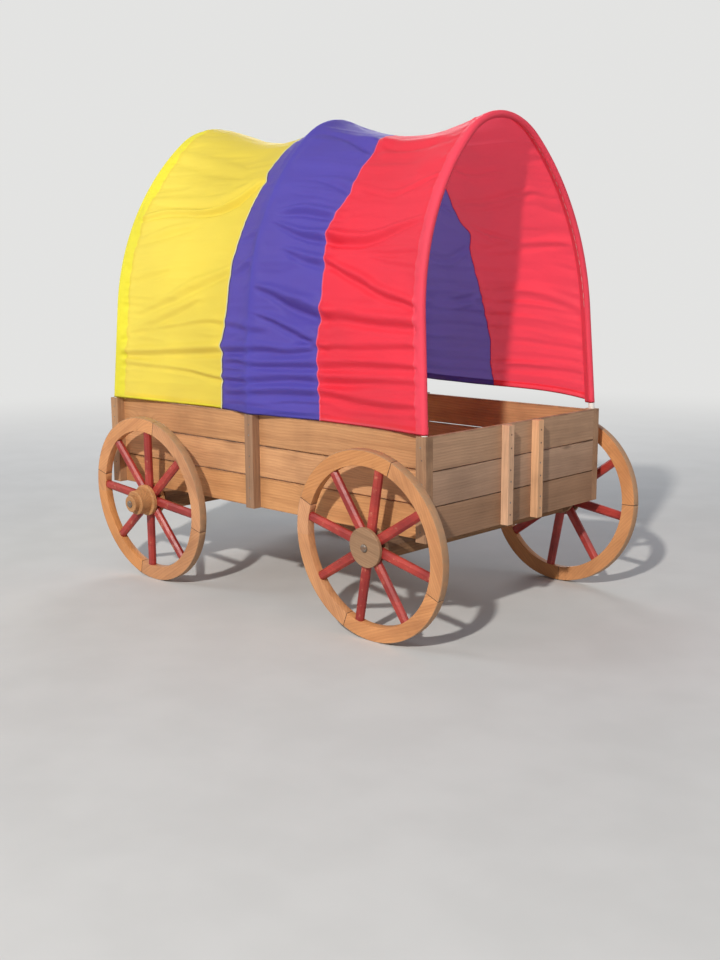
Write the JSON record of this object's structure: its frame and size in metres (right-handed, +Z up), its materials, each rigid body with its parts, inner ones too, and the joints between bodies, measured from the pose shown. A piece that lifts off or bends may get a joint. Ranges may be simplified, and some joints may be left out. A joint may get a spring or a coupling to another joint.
{
  "type": "covered wagon",
  "caption": "Plank box wagon on spoked wooden wheels under a hooped three-colour cloth cover, open at both ends.",
  "frame": {"origin": "on the ground, in the middle of the overall length and width", "axes": "+X is the wagon's front, +Y its left side, +Z up"},
  "size_m": [2.322, 1.64, 2.2214],
  "materials": {
    "plank": "weathered stained softwood planks",
    "batten": "weathered stained softwood battens",
    "beam": "rough sawn softwood",
    "rim_wood": "varnished softwood",
    "hub_wood": "turned softwood",
    "spoke_paint": "wood painted red",
    "axle_steel": "dull zinc plated steel",
    "pipe": "white plastic pipe",
    "cloth_yellow": "glossy nylon cloth",
    "cloth_blue": "glossy nylon cloth",
    "cloth_red": "glossy nylon cloth"
  },
  "bodies": {
    "root": {"side_boards_right": "plank", "post_rear_right": "batten", "post_middle_right": "batten", "post_front_right": "batten", "side_boards_left": "plank", "post_rear_left": "batten", "post_middle_left": "batten", "post_front_left": "batten", "end_boards_rear": "plank", "end_battens_rear": "batten", "axle_beam_rear": "beam", "axle_rear_right": "axle_steel", "axle_rear_left": "axle_steel", "end_boards_front": "plank", "end_battens_front": "batten", "axle_beam_front": "beam", "axle_front_right": "axle_steel", "axle_front_left": "axle_steel", "floor_joists": "beam", "floor_boards": "plank", "hoop_rear": "pipe", "cover_rear": "cloth_yellow", "hoop_middle": "pipe", "cover_middle": "cloth_blue", "hoop_front": "pipe", "cover_front": "cloth_red"},
    "wheel_rear_right": {"wheel_rear_right_felloes": "rim_wood", "wheel_rear_right_spokes": "spoke_paint", "wheel_rear_right_hub": "hub_wood", "wheel_rear_right_hub_plate": "hub_wood", "wheel_rear_right_hub_nose": "hub_wood"},
    "wheel_rear_left": {"wheel_rear_left_felloes": "rim_wood", "wheel_rear_left_spokes": "spoke_paint", "wheel_rear_left_hub": "hub_wood", "wheel_rear_left_hub_plate": "hub_wood", "wheel_rear_left_hub_nose": "hub_wood"},
    "wheel_front_right": {"wheel_front_right_felloes": "rim_wood", "wheel_front_right_spokes": "spoke_paint", "wheel_front_right_hub": "hub_wood", "wheel_front_right_hub_plate": "hub_wood"},
    "wheel_front_left": {"wheel_front_left_felloes": "rim_wood", "wheel_front_left_spokes": "spoke_paint", "wheel_front_left_hub": "hub_wood", "wheel_front_left_hub_plate": "hub_wood"}
  },
  "joints": [
    {"name": "wheel_rear_right_spin", "type": "hinge", "parent": "root", "child": "wheel_rear_right", "pos_m": [-0.7195, -0.692, 0.4068], "axis": [0, -0.9973, -0.0732], "continuous": true},
    {"name": "wheel_rear_left_spin", "type": "hinge", "parent": "root", "child": "wheel_rear_left", "pos_m": [-0.7195, 0.692, 0.4068], "axis": [0, 0.9973, -0.0732], "continuous": true},
    {"name": "wheel_front_right_spin", "type": "hinge", "parent": "root", "child": "wheel_front_right", "pos_m": [0.7545, -0.692, 0.4068], "axis": [0, -0.9973, -0.0732], "continuous": true},
    {"name": "wheel_front_left_spin", "type": "hinge", "parent": "root", "child": "wheel_front_left", "pos_m": [0.7545, 0.692, 0.4068], "axis": [0, 0.9973, -0.0732], "continuous": true}
  ]
}
